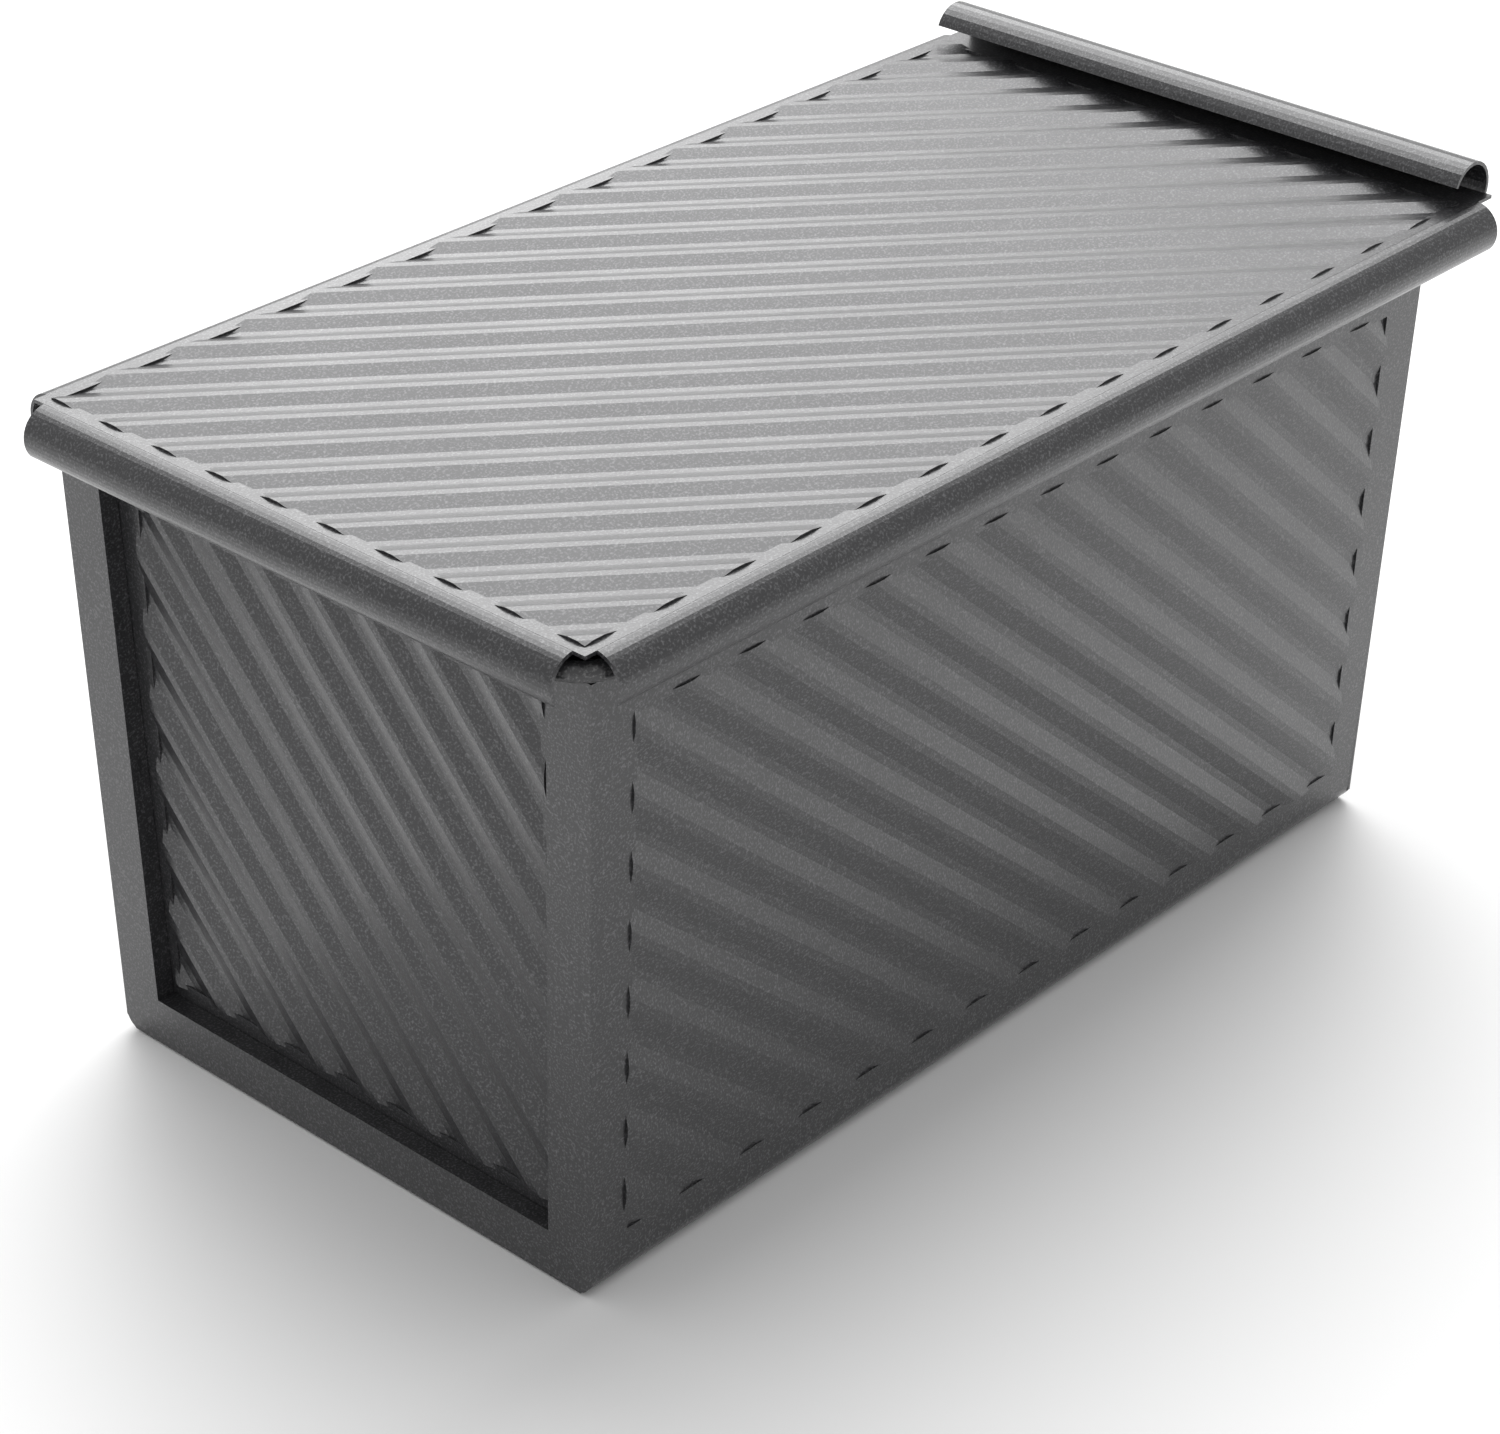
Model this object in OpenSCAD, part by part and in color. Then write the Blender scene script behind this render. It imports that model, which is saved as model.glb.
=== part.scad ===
// Pullman loaf pan: folded corrugated steel pan with a wire-rolled rim and a sliding lid.
// Millimetres. X is the long axis, Z is up, the origin is the centre of the base.

/* [Assembly] */
// Which sub-part to draw

/* [Pan] */
// Length of the base over the folded ends
base_len = 195; // [180:1:215]
// Width of the base over the long walls
base_wid = 105; // [98:1:112]
// Height of the pan over its rolled rim
pan_h = 110.8; // [100:0.1:120]
// How much each end leans out from base to rim
end_lean = 1.6; // [0.8:0.1:3]
// How much each long wall leans out from base to rim
wall_lean = 3.3; // [2:0.1:5]
// Outside radius of the fold between base and long wall
fold_r = 3; // [2:0.5:4]

/* [Sheet] */
// Thickness of the steel sheet
sheet = 0.6; // [0.5:0.05:0.8]
// Spacing of the ridges in the lid
lid_pitch = 9; // [8:0.25:11]
// Spacing of the ridges in the pan
pan_pitch = 8.75; // [8:0.25:11]
// Height of a ridge above a valley
ridge_h = 0.8; // [0.5:0.05:1]
// Slant of the ridges in the lid, base and long walls
ridge_slant = 40.5; // [30:0.5:55]
// Slant of the ridges in the end panels
end_slant = 48.5; // [30:0.5:60]

/* [End frames] */
// Width of the folded strip that frames an end panel
strip_w = 8.4; // [7:0.1:10]
// Depth of an end panel behind the face of its frame
recess = 3.3; // [2.5:0.1:4]
// Clearance between a frame and the panel caught in it
catch_gap = 0.1; // [0.05:0.05:0.2]

/* [Rolled rim] */
// Diameter of the wire in the rim
wire_d = 3.2; // [2.8:0.1:3.4]
// Outside diameter of the rolled edge
roll_d = 4.6; // [4.5:0.1:4.8]
// Length at each corner where the rolled edge is cut away
roll_cut = 6; // [4:0.5:9]
// Bend radius of the wire at the corners
wire_bend = 8; // [6:0.5:10]

/* [Lid] */
// Height from the rolled rim to the underside of the lid
lid_lift = 0.8; // [0.7:0.05:1]
// Outside radius of the curled edges
curl_r = 4.6; // [4.4:0.1:4.8]
// How far a curl turns beyond upright
curl_turn = 38; // [25:1:45]
// Gap between the front curl and the rolled rim when shut
stop_gap = 0.4; // [0.3:0.1:1]
// Distance from the pan centre to the root of the rear grip
grip_x = 114.6; // [112:0.2:118]
// Outside radius of the rear grip
grip_r = 5.2; // [4.5:0.1:5.5]
// Length cut from each curl at the front corners
notch = 2; // [1:0.5:4]

/* [Hidden] */
steel = [0.24, 0.24, 0.25];
bare = [0.55, 0.55, 0.56];
lap = 0.8;
corner = 3.6;
plain = 6;
over = 400;
roll_r = roll_d / 2;
roll_z = pan_h - roll_r;
wall_ang = atan(wall_lean / pan_h);
end_ang = atan(end_lean / pan_h);
wall_top = base_wid / 2 + wall_lean;
end_top = base_len / 2 + end_lean;
roll_y = wall_top - sheet + roll_r;
roll_x = end_top + roll_r + 1;
lid_z = pan_h + lid_lift;
curl_z = lid_z + sheet - curl_r;
curl_y = roll_y - 0.6;
curl_x = roll_x + roll_r + stop_gap - (curl_r - sheet) + 0.2;
rear_len = end_top - 0.4;

trough();
front_end_panel();
rear_end_panel();
rim_wire();
lid();

// outline of a corrugated sheet cut square across its ridges
function ridge_line(n, pitch, side) = [for (k = [-n : n], e = [-0.42, -0.08, 0.08, 0.42])
    [(k + e) * pitch, (abs(e) < 0.2 ? ridge_h / 2 : -ridge_h / 2) + side * sheet / 2]];

function turned(pts) = [for (i = [len(pts) - 1 : -1 : 0]) pts[i]];

// flat-lying rectangle of corrugated sheet, mid-plane at zero
module ridged(len_x, len_y, pitch, slant) {
    n = ceil((len_x + len_y) / 2 / pitch);
    intersection() {
        cube([len_x, len_y, 4], center = true);
        rotate([0, 0, -slant]) rotate([90, 0, 90])
            linear_extrude(height = over, center = true)
                polygon(concat(ridge_line(n, pitch, -1), turned(ridge_line(n, pitch, 1))));
    }
}

// arc of sheet between two angles, outside radius r
module arc2d(r, from, to) {
    steps = 14;
    step = (to - from) / steps;
    polygon(concat(
        [for (i = [0 : steps]) r * [cos(from + i * step), sin(from + i * step)]],
        [for (i = [steps : -1 : 0]) (r - sheet) * [cos(from + i * step), sin(from + i * step)]]));
}

// half section of the trough: base, fold and long wall
module half_section() {
    square([base_wid / 2 - fold_r, sheet]);
    translate([base_wid / 2 - fold_r, fold_r]) difference() {
        circle(r = fold_r, $fn = 48);
        circle(r = fold_r - sheet, $fn = 48);
        translate([-fold_r * 2, -fold_r * 2]) square([fold_r * 2, fold_r * 4]);
        translate([-fold_r, 0]) square([fold_r * 4, fold_r * 2]);
    }
    polygon([[base_wid / 2, fold_r - 0.01], [wall_top, roll_z], [wall_top - sheet, roll_z],
        [base_wid / 2 - sheet, fold_r - 0.01]]);
}

module roll_section() {
    difference() {
        circle(r = roll_r, $fn = 48);
        circle(r = roll_r - sheet, $fn = 48);
        rotate(200) translate([roll_r - sheet / 2, 0]) square([2, 0.5], center = true);
    }
}

// trapezoid that trims both ends of the trough to their lean
module end_trim() {
    rotate([90, 0, 0]) linear_extrude(height = over, center = true)
        polygon([[-base_len / 2, 0], [base_len / 2, 0], [end_top, pan_h], [-end_top, pan_h]]);
}

module wall_place(side) {
    translate([0, side * base_wid / 2, 0]) rotate([-side * wall_ang, 0, 0]) children();
}

// face and return of the folded strip round one end
module end_frame() {
    top = roll_z - roll_r;
    grow = wall_lean * top / pan_h;
    hb = base_wid / 2;
    translate([-base_len / 2, 0, 0]) rotate([0, -end_ang, 0]) rotate([90, 0, -90]) {
        translate([0, 0, -sheet]) linear_extrude(height = sheet) difference() {
            polygon([[-hb + 2, 0], [hb - 2, 0], [hb, 2], [hb + grow, top], [-hb - grow, top], [-hb, 2]]);
            polygon([[-hb + strip_w, strip_w], [hb - strip_w, strip_w],
                [hb + grow - strip_w, top + 1], [-hb - grow + strip_w, top + 1]]);
        }
        translate([0, 0, -recess]) linear_extrude(height = recess) difference() {
            polygon([[-hb + strip_w - sheet, strip_w - sheet], [hb - strip_w + sheet, strip_w - sheet],
                [hb + grow - strip_w + sheet, top], [-hb - grow + strip_w - sheet, top]]);
            polygon([[-hb + strip_w, strip_w], [hb - strip_w, strip_w],
                [hb + grow - strip_w, top + 1], [-hb - grow + strip_w, top + 1]]);
        }
    }
}

module trough() color(steel) {
    wall_field = base_len - 2 * plain - 2;
    wall_rise = pan_h - 20;
    intersection() {
        end_trim();
        difference() {
            for (s = [0, 1]) mirror([0, s, 0])
                rotate([90, 0, 90]) linear_extrude(height = over, center = true) half_section();
            cube([wall_field - 2 * lap, base_wid - 2 * plain - 2 * lap, 8], center = true);
            for (s = [-1, 1]) wall_place(s) translate([0, 0, 8 + wall_rise / 2])
                cube([wall_field - 2 * lap, 8, wall_rise - 2 * lap], center = true);
            for (s = [-1, 1]) translate([s * (end_top - roll_cut + 10), 0, pan_h])
                cube([20, over, 2 * roll_d + 0.1], center = true);
        }
    }
    translate([0, 0, sheet / 2 + ridge_h / 2]) ridged(wall_field, base_wid - 2 * plain, pan_pitch, -ridge_slant);
    wall_place(-1) translate([0, sheet / 2, 8 + wall_rise / 2]) rotate([90, 0, 0])
        ridged(wall_field, wall_rise, pan_pitch, ridge_slant);
    wall_place(1) translate([0, -sheet / 2, 8 + wall_rise / 2]) rotate([90, 0, 0])
        ridged(wall_field, wall_rise, pan_pitch, -ridge_slant);
    for (s = [0, 1]) mirror([0, s, 0]) translate([0, roll_y, roll_z]) rotate([90, 0, 90])
        linear_extrude(height = 2 * (end_top - roll_cut), center = true) roll_section();
    for (s = [0, 180]) rotate([0, 0, s]) end_frame();
}

module front_end_panel() color(steel) {
    end_panel();
}

module rear_end_panel() color(steel) {
    rotate([0, 0, 180]) end_panel();
}

// corrugated end wall, edges turned out into the frame, top rolled round the wire
module end_panel() {
    inset = sheet + catch_gap;
    hb = base_wid / 2 - inset;
    flare_z = roll_z - 7;
    grow = wall_lean * flare_z / pan_h;
    field_w = base_wid - 2 * strip_w - 2;
    field_h = flare_z - strip_w - 6;
    mid_z = strip_w + 2 + field_h / 2;
    translate([-base_len / 2, 0, 0]) rotate([0, -end_ang, 0]) rotate([90, 0, -90]) {
        translate([0, 0, -recess - catch_gap - sheet]) linear_extrude(height = sheet) difference() {
            polygon([[-hb + corner, inset], [hb - corner, inset], [hb, inset + corner], [hb + grow, flare_z],
                [-hb - grow, flare_z], [-hb, inset + corner]]);
            translate([0, mid_z]) square([field_w - 2 * lap, field_h - 2 * lap], center = true);
        }
        translate([0, mid_z, -recess - catch_gap - sheet / 2]) ridged(field_w, field_h, pan_pitch, end_slant);
        translate([0, 0, -recess - catch_gap - sheet]) linear_extrude(height = recess) difference() {
            polygon([[-hb + corner, inset], [hb - corner, inset], [hb, inset + corner], [hb + grow, flare_z],
                [-hb - grow, flare_z], [-hb, inset + corner]]);
            polygon([[-hb + corner, inset + sheet], [hb - corner, inset + sheet], [hb - sheet, inset + corner],
                [hb + grow - sheet, flare_z + 1], [-hb - grow + sheet, flare_z + 1], [-hb + sheet, inset + corner]]);
        }
    }
    back = base_len / 2 + end_lean * flare_z / pan_h - recess - catch_gap;
    inner = roll_x - roll_r;
    rotate([90, 0, 0]) linear_extrude(height = 2 * (wall_top - roll_cut), center = true) {
        polygon([[-back, flare_z - 0.8], [-back + sheet, flare_z - 0.8], [-back + sheet, flare_z],
            [-inner, roll_z], [-inner - sheet, roll_z], [-back, flare_z + 0.4]]);
        translate([-roll_x, roll_z]) mirror([1, 0]) roll_section();
    }
}

// closed loop of wire that stiffens the rim
module rim_wire() color(bare) {
    cx = roll_x - wire_bend;
    cy = roll_y - wire_bend;
    for (sx = [-1, 1], sy = [-1, 1])
        translate([sx * cx, sy * cy, roll_z])
            rotate([0, 0, sx > 0 ? (sy > 0 ? 0 : -90) : (sy > 0 ? 90 : 180)])
                rotate_extrude(angle = 90, $fn = 40) translate([wire_bend, 0]) circle(d = wire_d, $fn = 20);
    for (sy = [-1, 1]) translate([0, sy * roll_y, roll_z]) rotate([0, 90, 0])
        cylinder(d = wire_d, h = 2 * cx + 0.02, center = true, $fn = 20);
    for (sx = [-1, 1]) translate([sx * roll_x, 0, roll_z]) rotate([90, 0, 0])
        cylinder(d = wire_d, h = 2 * cy + 0.02, center = true, $fn = 20);
}

// curled edge hanging from the lid
module curl(length) {
    rotate([90, 0, 90]) linear_extrude(height = length)
        translate([0, curl_z]) arc2d(curl_r, 92, -curl_turn);
}

module lid() color(steel) {
    field_front = curl_x - 1.5;
    field_back = grip_x - 6;
    field_x = field_front + field_back;
    field_y = 2 * curl_y - 3;
    mid_x = (field_back - field_front) / 2;
    difference() {
        translate([-curl_x - 0.3, -curl_y - 0.3, lid_z])
            cube([curl_x + grip_x + 1.4, 2 * curl_y + 0.6, sheet]);
        translate([mid_x, 0, lid_z]) cube([field_x - 2 * lap, field_y - 2 * lap, 8], center = true);
    }
    translate([mid_x, 0, lid_z + sheet / 2]) ridged(field_x, field_y, lid_pitch, ridge_slant);
    for (s = [0, 1]) mirror([0, s, 0]) translate([notch - curl_x, curl_y, 0]) curl(curl_x + grip_x - notch - 3);
    translate([-curl_x, -curl_y + notch, 0]) rotate([0, 0, 90]) curl(2 * (curl_y - notch));
    grip();
}

// open curl along the rear edge of the lid, used to push and pull it
module grip() {
    translate([grip_x - 3.4, 0, lid_z + 2.2]) rotate([90, 0, 0])
        linear_extrude(height = 2 * (curl_y - 1), center = true) arc2d(grip_r, -26, 158);
}
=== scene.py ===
import bpy
from math import radians
from mathutils import Matrix

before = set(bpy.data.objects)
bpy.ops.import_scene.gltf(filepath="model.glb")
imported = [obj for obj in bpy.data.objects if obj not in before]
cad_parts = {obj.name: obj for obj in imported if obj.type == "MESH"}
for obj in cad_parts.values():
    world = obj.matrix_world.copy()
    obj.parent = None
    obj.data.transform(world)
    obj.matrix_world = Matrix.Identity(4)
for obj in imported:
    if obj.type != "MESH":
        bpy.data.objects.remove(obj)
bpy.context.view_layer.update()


# Trough, end panels and lid: pressed carbon steel sheet under a baked charcoal
# non-stick coating with a fine metallic fleck and a slight orange-peel surface.
def coated(name, base, fleck, rough):
    mat = bpy.data.materials.new(name)
    mat.use_nodes = True
    tree = mat.node_tree
    shader = tree.nodes["Principled BSDF"]
    shader.inputs["Metallic"].default_value = 0.25
    shader.inputs["Coat Weight"].default_value = 0.5
    shader.inputs["Coat Roughness"].default_value = 0.22
    place = tree.nodes.new("ShaderNodeTexCoord")
    grain = tree.nodes.new("ShaderNodeTexNoise")
    grain.inputs["Scale"].default_value = 2600
    grain.inputs["Detail"].default_value = 3
    tree.links.new(place.outputs["Object"], grain.inputs["Vector"])
    tint = tree.nodes.new("ShaderNodeValToRGB")
    tint.color_ramp.elements[0].position = 0.5
    tint.color_ramp.elements[0].color = base
    tint.color_ramp.elements[1].position = 0.72
    tint.color_ramp.elements[1].color = fleck
    tree.links.new(grain.outputs["Fac"], tint.inputs["Fac"])
    tree.links.new(tint.outputs["Color"], shader.inputs["Base Color"])
    wear = tree.nodes.new("ShaderNodeTexNoise")
    wear.inputs["Scale"].default_value = 45
    tree.links.new(place.outputs["Object"], wear.inputs["Vector"])
    spread = tree.nodes.new("ShaderNodeMapRange")
    spread.inputs["To Min"].default_value = rough - 0.05
    spread.inputs["To Max"].default_value = rough + 0.07
    tree.links.new(wear.outputs["Fac"], spread.inputs["Value"])
    tree.links.new(spread.outputs["Result"], shader.inputs["Roughness"])
    bump = tree.nodes.new("ShaderNodeBump")
    bump.inputs["Strength"].default_value = 0.12
    bump.inputs["Distance"].default_value = 0.0002
    tree.links.new(grain.outputs["Fac"], bump.inputs["Height"])
    tree.links.new(bump.outputs["Normal"], shader.inputs["Normal"])
    return mat


charcoal = coated("charcoal_coating", (0.022, 0.022, 0.024, 1), (0.11, 0.11, 0.115, 1), 0.33)
for name in ("trough", "front_end_panel", "rear_end_panel", "lid"):
    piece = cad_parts[name]
    piece.data.materials.clear()
    piece.data.materials.append(charcoal)

# Rim wire: drawn steel wire closed inside the rolled edge, seen only at the
# cut corners, darkened by the same coating.
dark_wire = coated("coated_wire", (0.03, 0.03, 0.032, 1), (0.14, 0.14, 0.14, 1), 0.3)
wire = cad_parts["rim_wire"]
wire.data.materials.clear()
wire.data.materials.append(dark_wire)

# Studio: plain pale floor, one broad soft light above and behind the pan.
bpy.ops.mesh.primitive_plane_add(size=8, location=(0, 0, -0.0004))
floor = bpy.context.object
floor.name = "floor"
floor_paint = bpy.data.materials.new("floor_paint")
floor_paint.use_nodes = True
floor_paint.node_tree.nodes["Principled BSDF"].inputs["Base Color"].default_value = (0.85, 0.85, 0.85, 1)
floor_paint.node_tree.nodes["Principled BSDF"].inputs["Roughness"].default_value = 0.5
floor.data.materials.append(floor_paint)
bpy.ops.object.light_add(type="AREA", location=(0.5, 0.5, 1.1), rotation=(radians(-32), radians(32), 0))
lamp = bpy.context.object
lamp.data.size = 1.4
lamp.data.energy = 22
world = bpy.data.worlds.new("studio")
bpy.context.scene.world = world
world.use_nodes = True
world.node_tree.nodes["Background"].inputs["Color"].default_value = (0.9, 0.9, 0.9, 1)
world.node_tree.nodes["Background"].inputs["Strength"].default_value = 0.8

# Camera: placed by fitting the pan's corners in the photograph.
camera = bpy.data.objects.new("camera", bpy.data.cameras.new("camera"))
bpy.context.scene.collection.objects.link(camera)
camera.data.sensor_width = 36
camera.data.lens = 94.5
turn = Matrix.Rotation(radians(-48.1), 4, "Z") @ Matrix.Rotation(radians(59.9), 4, "X")
camera.matrix_world = Matrix.Translation((-0.4245, -0.3763, 0.3661)) @ turn @ Matrix.Rotation(radians(0.65), 4, "Z")
bpy.context.scene.camera = camera
bpy.context.scene.view_settings.view_transform = "Standard"
